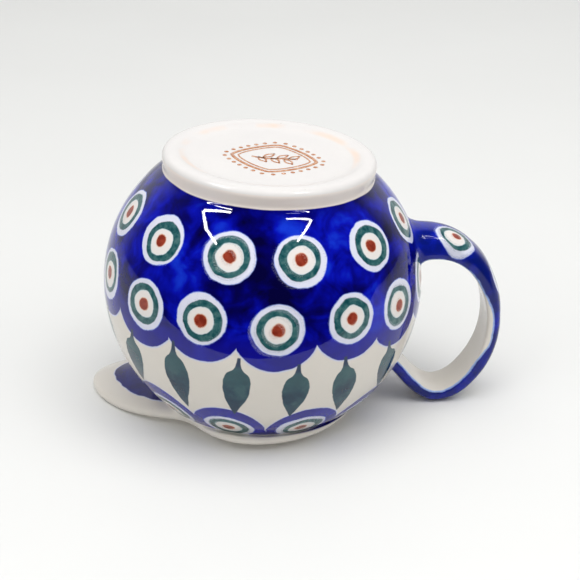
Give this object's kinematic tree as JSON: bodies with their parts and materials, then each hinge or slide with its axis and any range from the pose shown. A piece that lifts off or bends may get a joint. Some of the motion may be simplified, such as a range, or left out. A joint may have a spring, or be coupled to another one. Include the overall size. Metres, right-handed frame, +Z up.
{
  "type": "bubble mug with pouring lip",
  "caption": "Round-bodied stoneware mug on a low foot ring, with a strap handle and a flared rim pulled out into a broad pouring lip.",
  "frame": {"origin": "centre of the plane that the foot ring stands on", "axes": "+Z up along the axis that the body is turned about; +X towards the handle; the pouring lip points 19 degrees off -X"},
  "size_m": [0.124, 0.095, 0.0847],
  "materials": {
    "foot_glaze": "gloss",
    "painted_body_glaze": "gloss",
    "painted_lip_glaze": "gloss",
    "painted_handle_glaze": "gloss"
  },
  "bodies": {
    "root": {"foot_ring": "foot_glaze", "base_disc": "foot_glaze", "bubble_wall": "painted_body_glaze", "pouring_lip": "painted_lip_glaze", "handle_strap": "painted_handle_glaze", "lower_luting": "painted_handle_glaze", "upper_luting": "painted_handle_glaze"}
  },
  "joints": []
}
